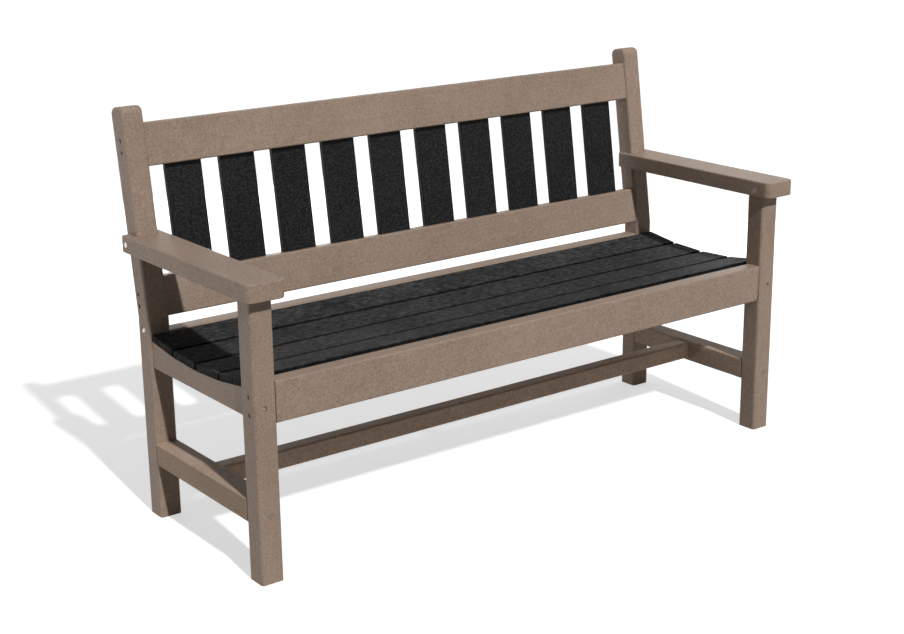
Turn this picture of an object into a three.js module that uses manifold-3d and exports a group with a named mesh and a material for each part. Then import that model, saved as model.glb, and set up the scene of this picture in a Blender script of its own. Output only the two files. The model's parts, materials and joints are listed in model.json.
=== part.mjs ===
// Garden bench of recycled plastic lumber: slatted seat and back, two arms, H-shaped leg frame.
// Millimetres, +Z up, X along the bench, +Y towards the back. The legs are laid out from the
// front faces of the front legs, and the finished bench is then centred over the origin.
import * as THREE from 'three';
import { mergeVertices } from 'three/addons/utils/BufferGeometryUtils.js';
import Module from 'manifold-3d';

const wasm = await Module();
wasm.setup();

// Stock
const postSize = 52;
const postRound = 7;
const boardThickness = 38;
const boardWidth = 89;
const boardRound = 4;
const slatThickness = 16;
const slatRound = 3.5;

// Leg frame
const lengthOverLegs = 1500;
const legGap = 391;
const rearPostLength = 466;
const kneeRise = 28.5;
const kneeRound = 70;
const postTopRound = 16;
const backRake = THREE.MathUtils.degToRad(8.2);

// Arms
const armRise = 55.5;
const armOutset = 20.5;
const armFrontOverhang = 31;
const armPostLap = 38.9;
const armCornerRound = 16;
const armRearCornerRound = 6;
const armEdgeRound = 3;

// Leg tenon that enters the arm
const tenonSize = 32;
const tenonHeight = 24;

// Seat
const seatRailTop = 431.5;
const frontRailSetback = 2;
const rearRailSetback = 5;
const sideRailSetback = 5;
const sideRailDepth = 60;
const seatSlatCount = 4;
const seatSlatGap = 7;
const seatFrontGap = 4.5;
const seatBackGap = 2;
const seatDip = 15.5;
const seatDishRadius = 1080;

// Back
const backRailSetback = 5;
const bottomRailStart = 5;
const topRailDrop = 38.5;
const topRailWidth = 94.2;
const backSlatCount = 10;
const backSlatSetback = 21;
const backSlatWidth = 88;
const backSlatThickness = 16;
const backSlatRound = 3;
const mortiseDepth = 16;

// Stretchers
const sideStretcherUnderside = 126;
const centreStretcherUnderside = 133;
const centreStretcherHeight = 42;
const centreStretcherFront = 239;

// Screws
const shankRadius = 2.6;
const sunkHeadRadius = 4.4;
const capHeadRadius = 6.6;
const headHeight = 3.2;
const headChamfer = 0.8;
const shallowSink = 0.4;
const deepSink = 2.6;
const socketRadius = 1.9;
const socketDepth = 1.6;
const tipLength = 5;
const postScrewLength = 85;
const armScrewLength = 52;
const backRailScrewSpacing = 26;
const topRailScrewShare = 0.43;
const bottomRailScrewShare = 0.74;
const bottomRailScrewDrop = 3.4;
const frontRailScrewSpacing = 39;
const frontRailScrewDrop = 3;
const sideRailScrewShare = 0.41;
const stretcherScrewDrop = 2.4;
const rearRailScrewShare = 0.6;
const rearRailScrewRise = 6.2;
const rearRailScrewDrop = 11;
const toeScrewSink = 1;
const armFrontScrewRise = 15;
const armFrontScrewStagger = 19;
const armRearScrewStagger = 12;
const armRearScrewShare = 0.36;

// Fits and mesh density
const clearance = 0.3;
const overrun = 5;
const screwSides = 12;
const cornerSteps = 4;
const slatCornerSteps = 3;
const bevelSteps = 4;

// Places worked out from the sizes above
const legOuter = lengthOverLegs / 2;
const legInner = legOuter - postSize;
const legCentre = legOuter - postSize / 2;
const rearLegFront = postSize + legGap;
const rearLegBack = rearLegFront + postSize;
const railLength = 2 * legInner;
const frontRailBack = frontRailSetback + boardThickness;
const seatRailUnderside = seatRailTop - boardWidth;
const seatLowPoint = seatRailTop - seatDip;
const sideRailUnderside = seatLowPoint - sideRailDepth;
const kneeHeight = seatRailTop + kneeRise;
const bottomRailEnd = bottomRailStart + boardWidth;
const topRailStart = rearPostLength - topRailDrop - topRailWidth;
const armUnderside = kneeHeight + bottomRailEnd * Math.cos(backRake) + armRise;
const rearRailFront = rearLegFront + rearRailSetback;
const sideRailOuter = legOuter - sideRailSetback;
const sideRailCentre = sideRailOuter - boardThickness / 2;
const armOuter = legOuter + armOutset;
const armCentre = armOuter - boardWidth / 2;
const armMiddle = armUnderside + boardThickness / 2;
const postAtArm = rearLegFront + (armMiddle - kneeHeight) * Math.tan(backRake);
const armLength = armFrontOverhang + postAtArm + armPostLap;
const armInner = armOuter - boardWidth;
const seatDepth = legGap - seatFrontGap - seatBackGap;
const seatSlatWidth = (seatDepth - (seatSlatCount - 1) * seatSlatGap) / seatSlatCount;
const seatPitch = seatSlatWidth + seatSlatGap;
const seatMiddle = postSize + seatFrontGap + seatDepth / 2;
const seatPitchAngle = seatPitch / seatDishRadius;
const backSlatPitch = (railLength + backSlatWidth) / (backSlatCount + 1);
const backSlatMiddle = backSlatSetback + backSlatThickness / 2;
const backSlatStart = bottomRailEnd - mortiseDepth + clearance;
const backSlatEnd = topRailStart + mortiseDepth - clearance;
const sideStretcherMiddle = sideStretcherUnderside + postSize / 2;

// Materials
const lumberTaupe = new THREE.MeshStandardMaterial({ name: 'lumber_taupe', color: 0x8f7e71, roughness: 0.62 });
const lumberBlack = new THREE.MeshStandardMaterial({ name: 'lumber_black', color: 0x2b2b2c, roughness: 0.55 });
const screwSteel = new THREE.MeshStandardMaterial({
  name: 'screw_steel', color: 0xa9a39c, roughness: 0.35, metalness: 1,
});

// Solids
const alongX = new THREE.Matrix4().makeBasis(
  new THREE.Vector3(0, 1, 0), new THREE.Vector3(0, 0, 1), new THREE.Vector3(1, 0, 0),
);

function toSolid(geometry) {
  const bare = geometry.clone();
  bare.deleteAttribute('normal');
  bare.deleteAttribute('uv');
  const merged = mergeVertices(bare);
  return new wasm.Manifold(new wasm.Mesh({
    numProp: 3,
    vertProperties: new Float32Array(merged.attributes.position.array),
    triVerts: new Uint32Array(merged.index.array),
  }));
}

function toGeometry(solid) {
  const mesh = solid.getMesh();
  const geometry = new THREE.BufferGeometry();
  geometry.setAttribute('position', new THREE.BufferAttribute(new Float32Array(mesh.vertProperties), 3));
  geometry.setIndex(new THREE.BufferAttribute(new Uint32Array(mesh.triVerts), 1));
  geometry.computeVertexNormals();
  return geometry;
}

function subtract(geometry, cutters) {
  let solid = toSolid(geometry);
  for (const cutter of cutters) {
    solid = solid.subtract(toSolid(cutter));
  }
  return toGeometry(solid);
}

function add(geometry, extra) {
  return toGeometry(toSolid(geometry).add(toSolid(extra)));
}

function box(x0, x1, y0, y1, z0, z1) {
  const geometry = new THREE.BoxGeometry(x1 - x0, y1 - y0, z1 - z0);
  return geometry.translate((x0 + x1) / 2, (y0 + y1) / 2, (z0 + z1) / 2);
}

// Outline through corners [across, up, radius], each with a true arc of its radius
function roundedOutline(corners) {
  const shape = new THREE.Shape();
  corners.forEach(([x, y, radius], i) => {
    const corner = new THREE.Vector2(x, y);
    const [beforeX, beforeY] = corners.at(i - 1);
    const [afterX, afterY] = corners[(i + 1) % corners.length];
    const back = new THREE.Vector2(beforeX, beforeY).sub(corner).normalize();
    const ahead = new THREE.Vector2(afterX, afterY).sub(corner).normalize();
    if (radius === 0) {
      if (i === 0) shape.moveTo(x, y);
      else shape.lineTo(x, y);
      return;
    }
    const half = Math.acos(back.dot(ahead)) / 2;
    const centre = back.clone().add(ahead).normalize().multiplyScalar(radius / Math.sin(half)).add(corner);
    const start = back.clone().multiplyScalar(radius / Math.tan(half)).add(corner).sub(centre);
    const end = ahead.clone().multiplyScalar(radius / Math.tan(half)).add(corner).sub(centre);
    shape.absarc(centre.x, centre.y, radius, start.angle(), end.angle(), back.cross(ahead) > 0);
  });
  return shape;
}

function rectangle(x0, x1, y0, y1, radius) {
  return roundedOutline([[x0, y0, radius], [x1, y0, radius], [x1, y1, radius], [x0, y1, radius]]);
}

// A stick of rounded section that runs along X, centred on X
function stick(length, depth, height, radius, steps) {
  const section = rectangle(0, depth, 0, height, radius);
  const geometry = new THREE.ExtrudeGeometry(section, { depth: length, bevelEnabled: false, curveSegments: steps });
  return geometry.translate(0, 0, -length / 2).applyMatrix4(alongX);
}

// An outline in Y and Z, made into a plate centred on X
function plate(outline, thickness, steps) {
  const geometry = new THREE.ExtrudeGeometry(outline, {
    depth: thickness, bevelEnabled: false, curveSegments: steps,
  });
  return geometry.translate(0, 0, -thickness / 2).applyMatrix4(alongX);
}

// A thick shape with all its edges rounded, its underside at zero
function easedPlate(outline, thickness, round, steps) {
  const geometry = new THREE.ExtrudeGeometry(outline, {
    depth: thickness - 2 * round,
    bevelThickness: round,
    bevelSize: round,
    bevelOffset: -round,
    bevelSegments: bevelSteps,
    curveSegments: steps,
  });
  return geometry.translate(0, 0, round);
}

// Scene graph
const bench = new THREE.Group();
bench.name = 'garden_bench';
const backFrame = new THREE.Group();
backFrame.position.set(0, rearLegFront, kneeHeight);
backFrame.rotation.x = -backRake;
bench.add(backFrame);

function place(parent, name, geometry, material, x, y, z) {
  const mesh = new THREE.Mesh(geometry, material);
  mesh.name = name;
  mesh.position.set(x, y, z);
  parent.add(mesh);
  return mesh;
}

const sides = [
  { side: 'left', sign: -1 },
  { side: 'right', sign: 1 },
];

// Front leg: a square post with a tenon on top, centred on its own axis
function frontLeg() {
  const half = postSize / 2;
  const post = new THREE.ExtrudeGeometry(rectangle(-half, half, -half, half, postRound), {
    depth: armUnderside, bevelEnabled: false, curveSegments: cornerSteps,
  });
  const tenon = box(
    -tenonSize / 2, tenonSize / 2, -tenonSize / 2, tenonSize / 2, armUnderside - overrun, armUnderside + tenonHeight,
  );
  return add(post, tenon);
}

// Rear leg: one shaped post, upright to the knee and raked above it, its foot cut flat
function rearLeg() {
  const lean = new THREE.Vector2(Math.sin(backRake), Math.cos(backRake));
  const across = new THREE.Vector2(Math.cos(backRake), -Math.sin(backRake));
  const kneeBack = kneeHeight + postSize * Math.tan(backRake / 2);
  const topFront = new THREE.Vector2(0, kneeHeight).addScaledVector(lean, rearPostLength);
  const topBack = topFront.clone().addScaledVector(across, postSize);
  const foot = -postSize / 2;
  const outline = roundedOutline([
    [0, foot, 0],
    [postSize, foot, 0],
    [postSize, kneeBack, kneeRound],
    [topBack.x, topBack.y, postTopRound],
    [topFront.x, topFront.y, postTopRound],
    [0, kneeHeight, kneeRound],
  ]);
  const blank = easedPlate(outline, postSize, postRound, cornerSteps);
  blank.translate(0, 0, -postSize / 2).applyMatrix4(alongX);
  const ground = box(-postSize, postSize, -postSize, 2 * postSize, foot - overrun, 0);
  return subtract(blank, [ground]);
}

// Arm: a board with rounded front corners, a mortise for the front leg and a notch round the rear post
function arm(sign) {
  const half = boardWidth / 2;
  const outline = roundedOutline([
    [-half, 0, armCornerRound],
    [half, 0, armCornerRound],
    [half, armLength, armRearCornerRound],
    [-half, armLength, armRearCornerRound],
  ]);
  const board = easedPlate(outline, boardThickness, armEdgeRound, cornerSteps);
  const legX = sign * (legCentre - armCentre);
  const legY = armFrontOverhang + postSize / 2;
  const hole = tenonSize / 2 + clearance;
  const mortise = box(legX - hole, legX + hole, legY - hole, legY + hole, -overrun, tenonHeight + clearance);
  const cheek = postSize / 2 + clearance;
  const notch = box(-cheek, cheek, -clearance, armLength, -armLength, armLength);
  notch.rotateX(-backRake);
  notch.translate(legX, rearLegFront + armFrontOverhang, kneeHeight - armUnderside);
  return subtract(board, [mortise, notch]);
}

// Side seat rails and the seat support share one dished outline: a straight seat for each slat
function dishedOutline(front, back) {
  const reach = seatDishRadius + slatThickness + clearance;
  const centreZ = seatLowPoint + seatDishRadius;
  const top = [];
  for (let i = 0; i < seatSlatCount; i += 1) {
    const angle = (i - (seatSlatCount - 1) / 2) * seatPitchAngle;
    for (const end of [-1, 1]) {
      const along = end * (seatSlatWidth / 2);
      const y = seatMiddle + reach * Math.sin(angle) + along * Math.cos(angle);
      const z = centreZ - reach * Math.cos(angle) + along * Math.sin(angle);
      top.push([y, z]);
    }
  }
  const shape = new THREE.Shape();
  shape.moveTo(front, sideRailUnderside);
  shape.lineTo(back, sideRailUnderside);
  shape.lineTo(back, top.at(-1)[1]);
  for (const [y, z] of top.toReversed()) {
    shape.lineTo(y, z);
  }
  shape.lineTo(front, top[0][1]);
  return shape;
}

// A rail with one blind mortise for each back slat, cut into its upper or lower edge
function mortisedRail(width, edge) {
  const rail = stick(railLength, boardThickness, width, boardRound, cornerSteps);
  const middle = backSlatMiddle - backRailSetback;
  const halfThick = backSlatThickness / 2 + clearance;
  const halfWide = backSlatWidth / 2 + clearance;
  const cutters = [];
  for (let i = 0; i < backSlatCount; i += 1) {
    const x = (i - (backSlatCount - 1) / 2) * backSlatPitch;
    const low = edge === 'upper' ? width - mortiseDepth : -overrun;
    const high = edge === 'upper' ? width + overrun : mortiseDepth;
    cutters.push(box(x - halfWide, x + halfWide, middle - halfThick, middle + halfThick, low, high));
  }
  return subtract(rail, cutters);
}

// Two kinds of screw head: small ones let into the timber and wider ones nearly flush with it
const sunkHead = { radius: sunkHeadRadius, sink: deepSink };
const capHead = { radius: capHeadRadius, sink: shallowSink };

// Screws: a socket head on a plain shank; local +Z points out of the timber, zero at its surface
function screwGeometry(length, { radius, sink }) {
  const seat = -sink - headHeight;
  const profile = [
    [0, -length],
    [shankRadius, tipLength - length],
    [shankRadius, seat],
    [radius, seat],
    [radius, -sink - headChamfer],
    [radius - headChamfer, -sink],
    [socketRadius, -sink],
    [socketRadius, -sink - socketDepth],
    [0, -sink - socketDepth],
  ];
  return latheAlongZ(profile);
}

function screwHole(length, { radius, sink }) {
  const seat = -sink - headHeight - clearance;
  const profile = [
    [0, -length - clearance],
    [shankRadius + clearance, -length - clearance],
    [shankRadius + clearance, seat],
    [radius + clearance, seat],
    [radius + clearance, overrun],
    [0, overrun],
  ];
  return latheAlongZ(profile);
}

function latheAlongZ(profile) {
  const points = profile.map(([radius, z]) => new THREE.Vector2(radius, z));
  return new THREE.LatheGeometry(points, screwSides).rotateX(Math.PI / 2);
}

// Holes are collected here and cut once every piece and screw is in place
const drilled = new Map();

function screw(parent, name, position, direction, length, head, members) {
  const mesh = place(parent, name, screwGeometry(length, head), screwSteel, ...position);
  mesh.quaternion.setFromUnitVectors(new THREE.Vector3(0, 0, 1), new THREE.Vector3(...direction));
  for (const member of members) {
    const list = drilled.get(member) ?? [];
    list.push({ mesh, length, head });
    drilled.set(member, list);
  }
}

function drillAll() {
  bench.updateMatrixWorld(true);
  for (const [member, holes] of drilled) {
    const toMember = member.matrixWorld.clone().invert();
    const cutters = holes.map(({ mesh, length, head }) => {
      const matrix = toMember.clone().multiply(mesh.matrixWorld);
      return screwHole(length, head).applyMatrix4(matrix);
    });
    member.geometry = subtract(member.geometry, cutters);
  }
}

// Rails, stretchers and seat support
const frontRail = place(
  bench, 'front_seat_rail', stick(railLength, boardThickness, boardWidth, boardRound, cornerSteps),
  lumberTaupe, 0, frontRailSetback, seatRailUnderside,
);
const rearRail = place(
  bench, 'rear_seat_rail', stick(railLength, boardThickness, boardWidth, boardRound, cornerSteps),
  lumberTaupe, 0, rearRailFront, seatRailUnderside,
);
place(
  bench, 'centre_seat_support', plate(dishedOutline(frontRailBack, rearRailFront), boardThickness, cornerSteps),
  lumberTaupe, 0, 0, 0,
);
place(
  bench, 'centre_stretcher',
  stick(railLength, boardThickness, centreStretcherHeight, boardRound, cornerSteps),
  lumberTaupe, 0, centreStretcherFront, centreStretcherUnderside,
);

// Seat slats, numbered from the front, each laid on a chord of the dish
for (let i = 0; i < seatSlatCount; i += 1) {
  const angle = (i - (seatSlatCount - 1) / 2) * seatPitchAngle;
  const slat = stick(2 * sideRailOuter, seatSlatWidth, slatThickness, slatRound, slatCornerSteps);
  slat.translate(0, -seatSlatWidth / 2, -slatThickness);
  const y = seatMiddle + seatDishRadius * Math.sin(angle);
  const z = seatLowPoint + seatDishRadius * (1 - Math.cos(angle));
  const mesh = place(bench, `seat_slat_${i + 1}`, slat, lumberBlack, 0, y, z);
  mesh.rotation.x = angle;
}

// Back rails and slats, in the raked frame
const topRail = place(
  backFrame, 'top_back_rail', mortisedRail(topRailWidth, 'lower'), lumberTaupe, 0, backRailSetback, topRailStart,
);
const bottomRail = place(
  backFrame, 'bottom_back_rail', mortisedRail(boardWidth, 'upper'), lumberTaupe,
  0, backRailSetback, bottomRailStart,
);
for (let i = 0; i < backSlatCount; i += 1) {
  const section = rectangle(
    -backSlatWidth / 2, backSlatWidth / 2, -backSlatThickness / 2, backSlatThickness / 2, backSlatRound,
  );
  const slat = new THREE.ExtrudeGeometry(section, {
    depth: backSlatEnd - backSlatStart, bevelEnabled: false, curveSegments: slatCornerSteps,
  });
  const x = (i - (backSlatCount - 1) / 2) * backSlatPitch;
  const name = `back_slat_${String(i + 1).padStart(2, '0')}`;
  place(backFrame, name, slat, lumberBlack, x, backSlatMiddle, backSlatStart);
}

// The two ends of the bench, with the screws that hold them together
for (const { side, sign } of sides) {
  const front = place(
    bench, `front_leg_${side}`, frontLeg(), lumberTaupe, sign * legCentre, postSize / 2, 0,
  );
  const rear = place(bench, `rear_leg_${side}`, rearLeg(), lumberTaupe, sign * legCentre, rearLegFront, 0);
  const armBoard = place(
    bench, `arm_${side}`, arm(sign), lumberTaupe, sign * armCentre, -armFrontOverhang, armUnderside,
  );
  const sideRail = place(
    bench, `side_seat_rail_${side}`, plate(dishedOutline(postSize, rearLegFront), boardThickness, cornerSteps),
    lumberTaupe, sign * sideRailCentre, 0, 0,
  );
  const stretcherSection = rectangle(-postSize / 2, postSize / 2, 0, postSize, boardRound);
  const stretcherGeometry = new THREE.ExtrudeGeometry(stretcherSection, {
    depth: legGap, bevelEnabled: false, curveSegments: cornerSteps,
  });
  stretcherGeometry.rotateX(Math.PI / 2).translate(0, legGap, 0);
  const stretcher = place(
    bench, `side_stretcher_${side}`, stretcherGeometry, lumberTaupe,
    sign * legCentre, postSize, sideStretcherUnderside,
  );

  const outward = [sign, 0, 0];
  const inward = [-sign, 0, 0];
  const forward = [0, -1, 0];
  const backward = [0, 1, 0];
  const outerFace = sign * legOuter;

  // Back rails, two screws each through the outer face of the post
  const backRails = [
    {
      rail: topRail, label: 'top_rail', middle: topRailStart + topRailWidth / 2, share: topRailScrewShare,
    },
    {
      rail: bottomRail, label: 'bottom_rail', middle: bottomRailStart + boardWidth / 2 - bottomRailScrewDrop,
      share: bottomRailScrewShare,
    },
  ];
  for (const { rail, label, middle, share } of backRails) {
    for (const [level, step] of [['upper', 0.5], ['lower', -0.5]]) {
      const at = [outerFace, backRailSetback + share * boardThickness, middle + step * backRailScrewSpacing];
      screw(backFrame, `screw_${label}_${side}_${level}`, at, outward, postScrewLength, sunkHead, [rear, rail]);
    }
  }

  // Seat rails
  const frontScrewMiddle = seatRailUnderside + boardWidth / 2 - frontRailScrewDrop;
  for (const [level, step] of [['upper', 0.5], ['lower', -0.5]]) {
    const z = frontScrewMiddle + step * frontRailScrewSpacing;
    const at = [outerFace, frontRailSetback + boardThickness / 2, z];
    screw(bench, `screw_front_rail_${side}_${level}`, at, outward, postScrewLength, sunkHead, [front, frontRail]);
  }
  // The rear rail's screw starts above the rail and slants down into its end
  const toeHead = new THREE.Vector3(
    outerFace, rearRailFront + rearRailScrewShare * boardThickness, seatRailTop + rearRailScrewRise,
  );
  const toeEntry = new THREE.Vector3(sign * legInner, toeHead.y, seatRailTop - rearRailScrewDrop);
  const toeDirection = toeHead.clone().sub(toeEntry).normalize();
  const toePlace = toeHead.clone().addScaledVector(toeDirection, -toeScrewSink);
  screw(
    bench, `screw_rear_rail_${side}`, toePlace.toArray(), toeDirection.toArray(),
    postScrewLength, capHead, [rear, rearRail],
  );
  const sideRailX = sign * sideRailCentre;
  const sideRailScrewZ = sideRailUnderside + sideRailScrewShare * sideRailDepth;
  screw(
    bench, `screw_side_rail_${side}_front`, [sideRailX, 0, sideRailScrewZ],
    forward, postScrewLength, sunkHead, [front, sideRail],
  );
  screw(
    bench, `screw_side_rail_${side}_rear`, [sideRailX, rearLegBack, sideRailScrewZ],
    backward, postScrewLength, sunkHead, [rear, sideRail],
  );

  // Stretchers
  const stretcherX = sign * legCentre;
  const stretcherScrewZ = sideStretcherMiddle - stretcherScrewDrop;
  screw(
    bench, `screw_stretcher_${side}_front`, [stretcherX, 0, stretcherScrewZ],
    forward, postScrewLength, capHead, [front, stretcher],
  );
  screw(
    bench, `screw_stretcher_${side}_rear`, [stretcherX, rearLegBack, stretcherScrewZ],
    backward, postScrewLength, capHead, [rear, stretcher],
  );

  // Arm: staggered from both faces into the tenon in front and into the post behind
  const armFrontZ = armUnderside + armFrontScrewRise;
  const armRearY = postAtArm + armRearScrewShare * armPostLap;
  const armOuterX = sign * armOuter;
  const armInnerX = sign * armInner;
  screw(
    bench, `screw_arm_${side}_front_outer`, [armOuterX, (postSize + armFrontScrewStagger) / 2, armFrontZ],
    outward, armScrewLength, capHead, [armBoard, front],
  );
  screw(
    bench, `screw_arm_${side}_front_inner`, [armInnerX, (postSize - armFrontScrewStagger) / 2, armFrontZ],
    inward, armScrewLength, capHead, [armBoard, front],
  );
  screw(
    bench, `screw_arm_${side}_rear_outer`, [armOuterX, armRearY + armRearScrewStagger / 2, armMiddle],
    outward, armScrewLength, capHead, [armBoard, rear],
  );
  screw(
    bench, `screw_arm_${side}_rear_inner`, [armInnerX, armRearY - armRearScrewStagger / 2, armMiddle],
    inward, armScrewLength, capHead, [armBoard, rear],
  );
}

drillAll();

// Origin at the middle of the floor under the bench
bench.updateMatrixWorld(true);
const extent = new THREE.Box3().setFromObject(bench, true);
bench.position.set(-(extent.min.x + extent.max.x) / 2, -(extent.min.y + extent.max.y) / 2, -extent.min.z);
bench.updateMatrixWorld(true);

export default bench;
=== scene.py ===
"""Looks for a slatted garden bench of recycled plastic lumber: finishes, eased edges, floor and light.

Lengths are metres in the row frame: X along the bench, Y from front to back, Z up, floor at zero.
"""
import json
import math

import bpy
from mathutils import Matrix, Vector

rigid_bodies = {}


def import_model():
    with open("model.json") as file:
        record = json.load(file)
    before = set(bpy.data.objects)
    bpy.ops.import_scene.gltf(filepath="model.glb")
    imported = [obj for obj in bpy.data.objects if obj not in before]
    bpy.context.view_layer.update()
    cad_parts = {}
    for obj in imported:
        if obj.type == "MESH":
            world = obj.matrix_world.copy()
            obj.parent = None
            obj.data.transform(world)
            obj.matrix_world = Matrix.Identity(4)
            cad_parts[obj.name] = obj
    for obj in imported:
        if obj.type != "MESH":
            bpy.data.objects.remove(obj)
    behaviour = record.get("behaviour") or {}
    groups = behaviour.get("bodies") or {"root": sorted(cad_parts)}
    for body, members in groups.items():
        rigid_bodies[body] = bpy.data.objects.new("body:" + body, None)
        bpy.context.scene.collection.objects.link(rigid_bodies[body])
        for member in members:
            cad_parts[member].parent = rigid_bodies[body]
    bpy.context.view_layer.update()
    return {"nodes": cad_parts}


for leftover in list(bpy.data.objects):
    bpy.data.objects.remove(leftover)
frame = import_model()
nodes = frame["nodes"]

# Camera, solved from the edges of the bench in the photograph
CAMERA_PLACE = Vector((-2.24623, -2.91012, 1.47048))
CAMERA_AZIMUTH = math.radians(-36.9)
CAMERA_ELEVATION = math.radians(16.63)
CAMERA_ROLL = math.radians(-0.675)
CAMERA_LENS = 64.592
CAMERA_SENSOR = 36.0

# Edges, and the pieces whose sharp sawn ends are eased
WELD_DISTANCE = 1e-5
SMOOTH_ANGLE = math.radians(35)
BEVEL_ANGLE = math.radians(60)
BEVEL_SEGMENTS = 3
END_EASE = 0.0012
SAWN_PIECES = ("seat_slat", "centre", "side_seat_rail")

# Lumber, as linear colours
WHITE = (1.0, 1.0, 1.0)
TAUPE = (0.297, 0.219, 0.167)
TAUPE_DARK = (0.201, 0.145, 0.108)
TAUPE_LIGHT = (0.402, 0.303, 0.234)
BLACK = (0.0103, 0.0102, 0.0103)
BLACK_DARK = (0.0037, 0.0037, 0.0039)
BLACK_LIGHT = (0.0240, 0.0233, 0.0231)

# How many times paler than the rest these pieces are painted, as painted light: the seat slats, of the back
# slats' black, for a painted sheen on their tops, and the stretchers for painted light bounced from the floor
SEAT_PAINTED_SHEEN = 3.92
SIDE_STRETCHER_PAINTED_BOUNCE = 1.29
CENTRE_STRETCHER_PAINTED_BOUNCE = 2.35

# Painted shade on the seat slats: their flanks, in the gaps between slats, darken over this range of their
# normal's Z, and their sawn ends by a fixed painted shade
FLANK_FROM = 0.70
FLANK_TO = 0.975
PAINTED_FLANK_SHADE = (0.25, 0.25, 0.25)
PAINTED_END_SHADE = (0.86, 0.84, 0.84)

# Painted shade in the gap at the right end of the front seat rail: dark over this range of X at mid height,
# wider below
SEAM_FROM = 0.6942
SEAM_TO = 0.6962
SEAM_MIDDLE = 0.387
SEAM_LEAN = 0.034
PAINTED_SEAM_SHADE = (0.17, 0.125, 0.11)

# Moulded skins. Blotches are counted per metre along X, Y and Z, and heights are metres
TAUPE_SKIN = {
    "contrast": 2.6, "blotches": (220, 220, 220), "blotch_weight": 0.5,
    "stipple_height": 0.00045, "grain_height": 0.0002, "roughness": 0.5, "specular": 0.24,
}
STRETCHER_SKIN = {**TAUPE_SKIN, "roughness": 0.6, "specular": 0.05}
BACK_SKIN = {
    "contrast": 2.6, "blotches": (150, 300, 300), "blotch_weight": 1.8,
    "stipple_height": 0.0004, "grain_height": 0.0005, "roughness": 0.55, "specular": 0.1,
}
SEAT_SKIN = {
    "contrast": 3.4, "blotches": (60, 120, 120), "blotch_weight": 0.45,
    "stipple_height": 0.0004, "grain_height": 0.0005, "roughness": 0.55, "specular": 0.005,
}

# Noises of a skin: scale per metre, detail and roughness
CLOUD = (5.0, 3.0, 0.55)
PATCH = (38.0, 3.0, 0.6)
BLOTCH = (1.0, 2.0, 0.6)
STREAK = (260.0, 4.0, 0.62)
PEBBLE = (330.0, 2.0, 0.6)
SPECK = (760.0, 1.0, 0.5)

# How strongly they count in its colour
CLOUD_WEIGHT = 0.20
PATCH_WEIGHT = 0.16
STREAK_WEIGHT = 0.16
PEBBLE_WEIGHT = 0.30
SPECK_WEIGHT = 0.20

# Strengths of the bumps, the specks' share of the stipple's height, and the range of the roughness
PEBBLE_BUMP = 0.55
SPECK_BUMP = 0.4
STREAK_BUMP = 0.5
SPECK_SHARE = 0.4
SKIN_GLOSS_RANGE = 0.16

# Grain of a board whose length runs along this axis or leans with the back: its scale and its turn
ALONG_SHARE = 0.035
BACK_RAKE = math.radians(8.2)
GRAIN = {
    "x": ((ALONG_SHARE, 1, 1), (0, 0, 0)),
    "y": ((1, ALONG_SHARE, 1), (0, 0, 0)),
    "z": ((1, 1, ALONG_SHARE), (0, 0, 0)),
    "raked": ((1, 1, ALONG_SHARE), (BACK_RAKE, 0, 0)),
}

# Screw finishes: bright colour, dull colour, metallic share and roughness
SCREW_FINISHES = {
    "steel": ((0.880, 0.820, 0.770), (0.640, 0.590, 0.550), 1.0, 0.33),
    "tarnished": ((0.420, 0.370, 0.330), (0.280, 0.240, 0.210), 1.0, 0.45),
    "coated": ((0.300, 0.225, 0.174), (0.195, 0.144, 0.111), 0.2, 0.5),
    "dusty": ((0.460, 0.350, 0.270), (0.340, 0.255, 0.195), 0.0, 0.7),
    "sooty": ((0.150, 0.116, 0.094), (0.080, 0.064, 0.054), 0.6, 0.6),
}

# Noises of a screw's finish and how strongly they count, where its tone is dull and bright, and its scratches
WORN = (420.0, 3.0, 0.6)
SCRATCH = (2200.0, 2.0, 0.6)
SCRATCH_STRETCH = (1, 1, 0.15)
WORN_WEIGHT = 0.6
SCRATCH_WEIGHT = 0.4
DULL_AT = 0.36
BRIGHT_AT = 0.58
SCREW_GLOSS_RANGE = 0.3
SCRATCH_BUMP = 0.3
SCRATCH_DEPTH = 0.00008

# Floor and sky
FLOOR_SEEN = (0.66, 0.66, 0.66)
FLOOR_GLOW = 0.56
FLOOR_BOUNCE = (0.34, 0.33, 0.32)
FLOOR_ROUGHNESS = 0.9
FLOOR_SIZE = 60.0
SKY_TOP = (0.15, 0.155, 0.162)
SKY_TOP_AT = 0.9
SKY_HORIZON = (0.03, 0.03, 0.03)
REAR_GLOW = 1.0

# Sun, and the softboxes: place, aim, width and height, and watts
SUN_FROM = (-0.13, -1.08, 1.0)
SUN_STRENGTH = 2.9
SUN_ANGLE = math.radians(2)
SOFTBOXES = {
    "left": ((-3.0, 0.9, 0.35), (-0.7, 0.3, 0.35), (1.4, 0.6), 11.2),
    "right": ((2.6, 1.0, 0.5), (0.7, 0.3, 0.4), (1.4, 0.8), 18.0),
    "rear": ((0.3, 3.3, 0.5), (0, 0.5, 0.5), (3.2, 0.8), 38.0),
}


# Node helpers
def ramp(tree, fac, stops):
    node = tree.nodes.new("ShaderNodeValToRGB")
    for element, (place, colour) in zip(node.color_ramp.elements, stops):
        element.position = place
        element.color = (*colour, 1.0)
    for place, colour in stops[2:]:
        node.color_ramp.elements.new(place).color = (*colour, 1.0)
    tree.links.new(fac, node.inputs["Fac"])
    return node.outputs["Color"]


def noise(tree, vector, scale, detail, roughness):
    node = tree.nodes.new("ShaderNodeTexNoise")
    node.inputs["Scale"].default_value = scale
    node.inputs["Detail"].default_value = detail
    node.inputs["Roughness"].default_value = roughness
    tree.links.new(vector, node.inputs["Vector"])
    return node.outputs["Fac"]


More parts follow.
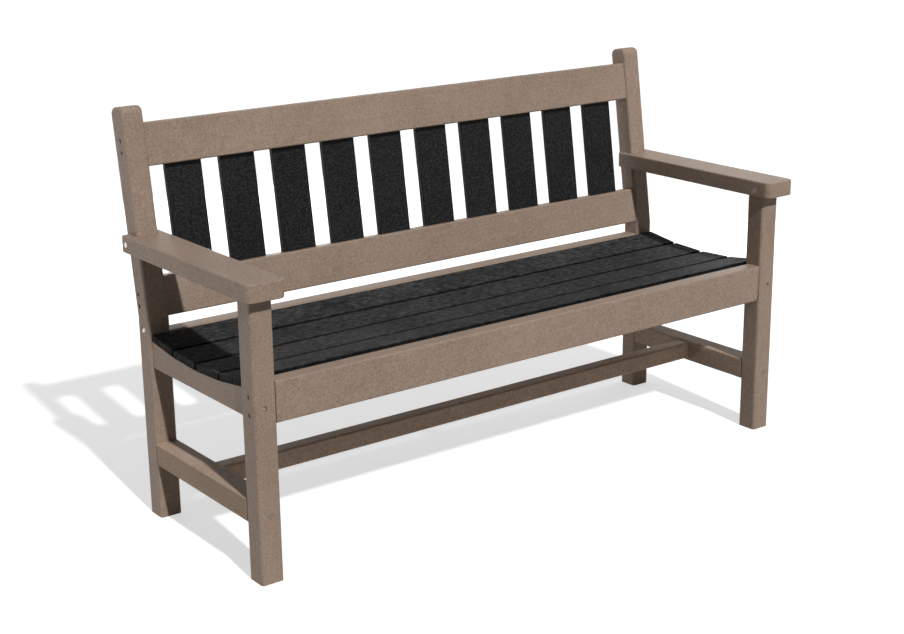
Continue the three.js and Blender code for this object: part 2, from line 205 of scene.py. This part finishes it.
def mapped(tree, vector, scale=(1, 1, 1), rotation=(0, 0, 0)):
    node = tree.nodes.new("ShaderNodeMapping")
    node.inputs["Scale"].default_value = scale
    node.inputs["Rotation"].default_value = rotation
    tree.links.new(vector, node.inputs["Vector"])
    return node.outputs["Vector"]


def coordinates(tree, kind):
    return tree.nodes.new("ShaderNodeTexCoord").outputs[kind]


def separated(tree, vector):
    node = tree.nodes.new("ShaderNodeSeparateXYZ")
    tree.links.new(vector, node.inputs["Vector"])
    return node.outputs


def maths(tree, operation, *values):
    node = tree.nodes.new("ShaderNodeMath")
    node.operation = operation
    for socket, value in zip(node.inputs, values):
        if isinstance(value, (int, float)):
            socket.default_value = value
        else:
            tree.links.new(value, socket)
    return node.outputs["Value"]


def mix(tree, blend, fac, first, second):
    node = tree.nodes.new("ShaderNodeMix")
    node.data_type = "RGBA"
    node.blend_type = blend
    for socket, value in ((node.inputs[0], fac), (node.inputs[6], first), (node.inputs[7], second)):
        if isinstance(value, (int, float)):
            socket.default_value = value
        elif isinstance(value, tuple):
            socket.default_value = (*value, 1.0)
        else:
            tree.links.new(value, socket)
    return node.outputs[2]


def bump(tree, height, strength, distance, normal=None):
    node = tree.nodes.new("ShaderNodeBump")
    node.inputs["Strength"].default_value = strength
    node.inputs["Distance"].default_value = distance
    tree.links.new(height, node.inputs["Height"])
    if normal is not None:
        tree.links.new(normal, node.inputs["Normal"])
    return node.outputs["Normal"]


def new_material(name):
    material = bpy.data.materials.new(name)
    material.use_nodes = True
    tree = material.node_tree
    return material, tree, tree.nodes["Principled BSDF"]


def layered(tree, layers):
    """Noise layers added by weight about the middle tone."""
    tone = 0.5 - 0.5 * sum(weight for _, weight in layers)
    for layer, weight in layers:
        tone = maths(tree, "ADD", maths(tree, "MULTIPLY", layer, weight), tone)
    return tone


def uneven_gloss(tree, tone, gloss_range, roughness):
    """Roughness that follows a tone, about its mean."""
    return maths(tree, "ADD", maths(tree, "MULTIPLY", tone, gloss_range), roughness - gloss_range / 2)


def painted_flank_shade(tree):
    """Painted shade of a seat slat: its flanks, in the gaps where shade falls, are painted dark, and its sawn
    ends a little less.
    """
    facing = separated(tree, coordinates(tree, "Normal"))
    flank = ramp(tree, facing["Z"], [(FLANK_FROM, PAINTED_FLANK_SHADE), (FLANK_TO, WHITE)])
    end = maths(tree, "ABSOLUTE", facing["X"])
    return mix(tree, "MIX", maths(tree, "MULTIPLY", end, end), flank, PAINTED_END_SHADE)


def painted_seam_shade(tree):
    """Painted shade of the dark line in the gap at the front seat rail's right end."""
    place = separated(tree, coordinates(tree, "Object"))
    above = maths(tree, "SUBTRACT", place["Z"], SEAM_MIDDLE)
    shifted = maths(tree, "SUBTRACT", place["X"], maths(tree, "MULTIPLY", above, SEAM_LEAN))
    return ramp(tree, shifted, [(SEAM_FROM, WHITE), (SEAM_TO, PAINTED_SEAM_SHADE)])


def lumber(name, along, shades, skin, shade=None):
    """Moulded plastic lumber: a pebbled skin, faint drawn streaks along the board and mottled colour."""
    material, tree, shader = new_material(name)
    scale, turn = GRAIN[along]
    # The turn comes first, so that the streaks follow a leaning board
    turned = mapped(tree, coordinates(tree, "Object"), rotation=turn)

    cloud = noise(tree, turned, *CLOUD)
    patch = noise(tree, turned, *PATCH)
    blotch = noise(tree, mapped(tree, turned, scale=skin["blotches"]), *BLOTCH)
    streak = noise(tree, mapped(tree, turned, scale=scale), *STREAK)
    pebble = noise(tree, turned, *PEBBLE)
    speck = noise(tree, turned, *SPECK)

    tone = layered(tree, [
        (cloud, CLOUD_WEIGHT), (patch, PATCH_WEIGHT), (blotch, skin["blotch_weight"]),
        (streak, STREAK_WEIGHT), (pebble, PEBBLE_WEIGHT), (speck, SPECK_WEIGHT),
    ])
    reach = 0.5 / skin["contrast"]
    colour = ramp(tree, tone, list(zip((0.5 - reach, 0.5, 0.5 + reach), shades)))
    if shade is not None:
        colour = mix(tree, "MULTIPLY", 1.0, colour, shade(tree))
    tree.links.new(colour, shader.inputs["Base Color"])
    shader.inputs["Specular IOR Level"].default_value = skin["specular"]
    tree.links.new(uneven_gloss(tree, patch, SKIN_GLOSS_RANGE, skin["roughness"]), shader.inputs["Roughness"])

    pebbled = bump(tree, pebble, PEBBLE_BUMP, skin["stipple_height"])
    fine = bump(tree, speck, SPECK_BUMP, skin["stipple_height"] * SPECK_SHARE, pebbled)
    drawn = bump(tree, streak, STREAK_BUMP, skin["grain_height"], fine)
    tree.links.new(drawn, shader.inputs["Normal"])
    return material


def screw_metal(name, bright, dull, metallic, roughness):
    """A screw's finish: fine turned scratches, dulled here and there."""
    material, tree, shader = new_material(name)
    place = coordinates(tree, "Object")
    worn = noise(tree, place, *WORN)
    scratch = noise(tree, mapped(tree, place, scale=SCRATCH_STRETCH), *SCRATCH)
    worn_tone = maths(tree, "MULTIPLY", worn, WORN_WEIGHT)
    tone = maths(tree, "ADD", worn_tone, maths(tree, "MULTIPLY", scratch, SCRATCH_WEIGHT))
    colour = ramp(tree, tone, [(DULL_AT, dull), (BRIGHT_AT, bright)])
    tree.links.new(colour, shader.inputs["Base Color"])
    shader.inputs["Metallic"].default_value = metallic
    tree.links.new(uneven_gloss(tree, tone, SCREW_GLOSS_RANGE, roughness), shader.inputs["Roughness"])
    tree.links.new(bump(tree, scratch, SCRATCH_BUMP, SCRATCH_DEPTH), shader.inputs["Normal"])
    return material


# Shades made paler by a factor, as painted light
def painted_paler(shades, painted_gain):
    return tuple(tuple(painted_gain * channel for channel in shade) for shade in shades)


taupe_shades = (TAUPE_DARK, TAUPE, TAUPE_LIGHT)
black_shades = (BLACK_DARK, BLACK, BLACK_LIGHT)
taupe = {along: lumber(f"taupe_{along}", along, taupe_shades, TAUPE_SKIN) for along in "xyz"}
# The stretchers are painted paler, a painted light that stands in for light bounced from the floor under the
# seat
side_stretcher = lumber("taupe_low_y", "y", painted_paler(taupe_shades, SIDE_STRETCHER_PAINTED_BOUNCE), STRETCHER_SKIN)
centre_stretcher = lumber("taupe_low_x", "x", painted_paler(taupe_shades, CENTRE_STRETCHER_PAINTED_BOUNCE), STRETCHER_SKIN)
# The front seat rail carries a painted shade in the gap at its right end
front_rail = lumber("taupe_seam_painted_shade", "x", taupe_shades, TAUPE_SKIN, painted_seam_shade)
black_back = lumber("black_raked", "raked", black_shades, BACK_SKIN)
# The seat slats' black is painted paler as a painted sheen, and their flanks and ends darker as painted shade
black_seat = lumber("black_x", "x", painted_paler(black_shades, SEAT_PAINTED_SHEEN), SEAT_SKIN, painted_flank_shade)
screws = {name: screw_metal(f"screw_{name}", *finish) for name, finish in SCREW_FINISHES.items()}

# The first rule that a node's name begins with gives its finish, and the other rails are taupe along X
FINISH_RULES = (
    (("screw_front_rail", "screw_side_rail", "screw_top_rail"), screws["dusty"]),
    (("screw_stretcher", "screw_arm_left_front_outer", "screw_arm_right_front_outer"), screws["coated"]),
    (("screw_arm_right_rear_inner",), screws["coated"]),
    (("screw_arm_right_front_inner",), screws["tarnished"]),
    (("screw_arm", "screw_rear_rail"), screws["steel"]),
    (("screw",), screws["sooty"]),
    (("seat_slat",), black_seat),
    (("back_slat",), black_back),
    (("front_leg", "rear_leg"), taupe["z"]),
    (("side_stretcher",), side_stretcher),
    (("centre_stretcher",), centre_stretcher),
    (("front_seat_rail",), front_rail),
    (("arm", "side_seat_rail"), taupe["y"]),
)


def finish_of(name):
    return next((finish for starts, finish in FINISH_RULES if name.startswith(starts)), taupe["x"])


# Edges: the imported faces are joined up, the sharp ends eased, and the round corners shaded smooth
def geometry_group(name):
    group = bpy.data.node_groups.new(name, "GeometryNodeTree")
    group.interface.new_socket("Geometry", in_out="INPUT", socket_type="NodeSocketGeometry")
    group.interface.new_socket("Geometry", in_out="OUTPUT", socket_type="NodeSocketGeometry")
    source = group.nodes.new("NodeGroupInput").outputs["Geometry"]
    target = group.nodes.new("NodeGroupOutput").inputs["Geometry"]
    return group, source, target


def joined_group():
    group, source, target = geometry_group("join_faces")
    weld = group.nodes.new("GeometryNodeMergeByDistance")
    weld.inputs["Distance"].default_value = WELD_DISTANCE
    clear = group.nodes.new("GeometryNodeRemoveAttribute")
    clear.inputs["Name"].default_value = "custom_normal"
    group.links.new(source, weld.inputs["Geometry"])
    group.links.new(weld.outputs["Geometry"], clear.inputs["Geometry"])
    group.links.new(clear.outputs["Geometry"], target)
    return group


def smooth_group():
    group, source, target = geometry_group("smooth_rounds")
    faces = group.nodes.new("GeometryNodeSetShadeSmooth")
    faces.domain = "FACE"
    edges = group.nodes.new("GeometryNodeSetShadeSmooth")
    edges.domain = "EDGE"
    edges.inputs["Shade Smooth"].default_value = False
    angle = group.nodes.new("GeometryNodeInputMeshEdgeAngle")
    sharp = group.nodes.new("FunctionNodeCompare")
    sharp.data_type = "FLOAT"
    sharp.operation = "GREATER_THAN"
    sharp.inputs["B"].default_value = SMOOTH_ANGLE
    group.links.new(angle.outputs["Unsigned Angle"], sharp.inputs["A"])
    group.links.new(source, faces.inputs["Geometry"])
    group.links.new(faces.outputs["Geometry"], edges.inputs["Geometry"])
    group.links.new(sharp.outputs["Result"], edges.inputs["Selection"])
    group.links.new(edges.outputs["Geometry"], target)
    return group


join_faces = joined_group()
smooth_rounds = smooth_group()

for node_name, part in nodes.items():
    part.material_slots[0].material = finish_of(node_name)
    part.modifiers.new("join", "NODES").node_group = join_faces
    if node_name.startswith(SAWN_PIECES):
        ease = part.modifiers.new("ease", "BEVEL")
        ease.width = END_EASE
        ease.segments = BEVEL_SEGMENTS
        ease.limit_method = "ANGLE"
        ease.angle_limit = BEVEL_ANGLE
    part.modifiers.new("smooth", "NODES").node_group = smooth_rounds
    part.modifiers.new("even", "WEIGHTED_NORMAL").keep_sharp = True


def seen_rays(tree):
    """One where the camera, a gloss or a clear material looks, and zero where light bounces."""
    path = tree.nodes.new("ShaderNodeLightPath").outputs
    seen = maths(tree, "ADD", path["Is Camera Ray"], path["Is Glossy Ray"])
    seen = maths(tree, "ADD", seen, path["Is Transmission Ray"])
    return maths(tree, "MINIMUM", seen, 1.0)


# Floor
half = FLOOR_SIZE / 2
floor_mesh = bpy.data.meshes.new("floor")
floor_mesh.from_pydata(
    [(-half, -half, 0), (half, -half, 0), (half, half, 0), (-half, half, 0)], [], [(0, 1, 2, 3)]
)
floor = bpy.data.objects.new("floor", floor_mesh)
bpy.context.scene.collection.objects.link(floor)
floor_material, floor_tree, floor_shader = new_material("pale_floor")
floor_seen = seen_rays(floor_tree)
floor_colour = mix(floor_tree, "MIX", floor_seen, FLOOR_BOUNCE, FLOOR_SEEN)
floor_glow = maths(floor_tree, "MULTIPLY", floor_seen, FLOOR_GLOW)
floor_tree.links.new(floor_colour, floor_shader.inputs["Base Color"])
floor_tree.links.new(floor_glow, floor_shader.inputs["Emission Strength"])
floor_shader.inputs["Emission Color"].default_value = (*WHITE, 1.0)
floor_shader.inputs["Roughness"].default_value = FLOOR_ROUGHNESS
floor_shader.inputs["Specular IOR Level"].default_value = 0.0
floor_mesh.materials.append(floor_material)

# World: a dim sky, brighter towards the rear, and white where it is seen
world = bpy.data.worlds.new("studio")
bpy.context.scene.world = world
world.use_nodes = True
world_tree = world.node_tree
direction = separated(world_tree, coordinates(world_tree, "Generated"))
sky = ramp(world_tree, direction["Z"], [(0.0, SKY_HORIZON), (SKY_TOP_AT, SKY_TOP)])
rear = maths(world_tree, "MAXIMUM", direction["Y"], 0.0)
glow = maths(world_tree, "ADD", maths(world_tree, "MULTIPLY", rear, REAR_GLOW), 1.0)
sky = mix(world_tree, "MULTIPLY", 1.0, sky, glow)
sky = mix(world_tree, "MIX", seen_rays(world_tree), sky, WHITE)
world_tree.links.new(sky, world_tree.nodes["Background"].inputs["Color"])


# Lamps
def add_lamp(name, kind, strength, light_from):
    lamp = bpy.data.lights.new(name, kind)
    lamp.energy = strength
    lamp_object = bpy.data.objects.new(name, lamp)
    lamp_object.rotation_euler = light_from.to_track_quat("Z", "Y").to_euler()
    bpy.context.scene.collection.objects.link(lamp_object)
    return lamp, lamp_object


sun, _ = add_lamp("key", "SUN", SUN_STRENGTH, Vector(SUN_FROM))
sun.angle = SUN_ANGLE
for box_name, (box_place, box_aim, box_size, watts) in SOFTBOXES.items():
    softbox, box = add_lamp(box_name, "AREA", watts, Vector(box_place) - Vector(box_aim))
    softbox.shape = "RECTANGLE"
    softbox.size, softbox.size_y = box_size
    box.location = box_place
    box.visible_camera = False

# Camera
right = Vector((math.cos(CAMERA_AZIMUTH), math.sin(CAMERA_AZIMUTH), 0))
back = Vector((
    math.sin(CAMERA_AZIMUTH) * math.cos(CAMERA_ELEVATION),
    -math.cos(CAMERA_AZIMUTH) * math.cos(CAMERA_ELEVATION),
    math.sin(CAMERA_ELEVATION),
))
up = back.cross(right)
rolled_right = math.cos(CAMERA_ROLL) * right + math.sin(CAMERA_ROLL) * up
rolled_up = math.cos(CAMERA_ROLL) * up - math.sin(CAMERA_ROLL) * right
camera_data = bpy.data.cameras.new("camera")
camera_data.sensor_width = CAMERA_SENSOR
camera_data.lens = CAMERA_LENS
camera = bpy.data.objects.new("camera", camera_data)
camera.matrix_world = Matrix((rolled_right, rolled_up, back)).transposed().to_4x4()
camera.location = CAMERA_PLACE
bpy.context.scene.collection.objects.link(camera)
bpy.context.scene.camera = camera
bpy.context.scene.view_settings.view_transform = "Standard"
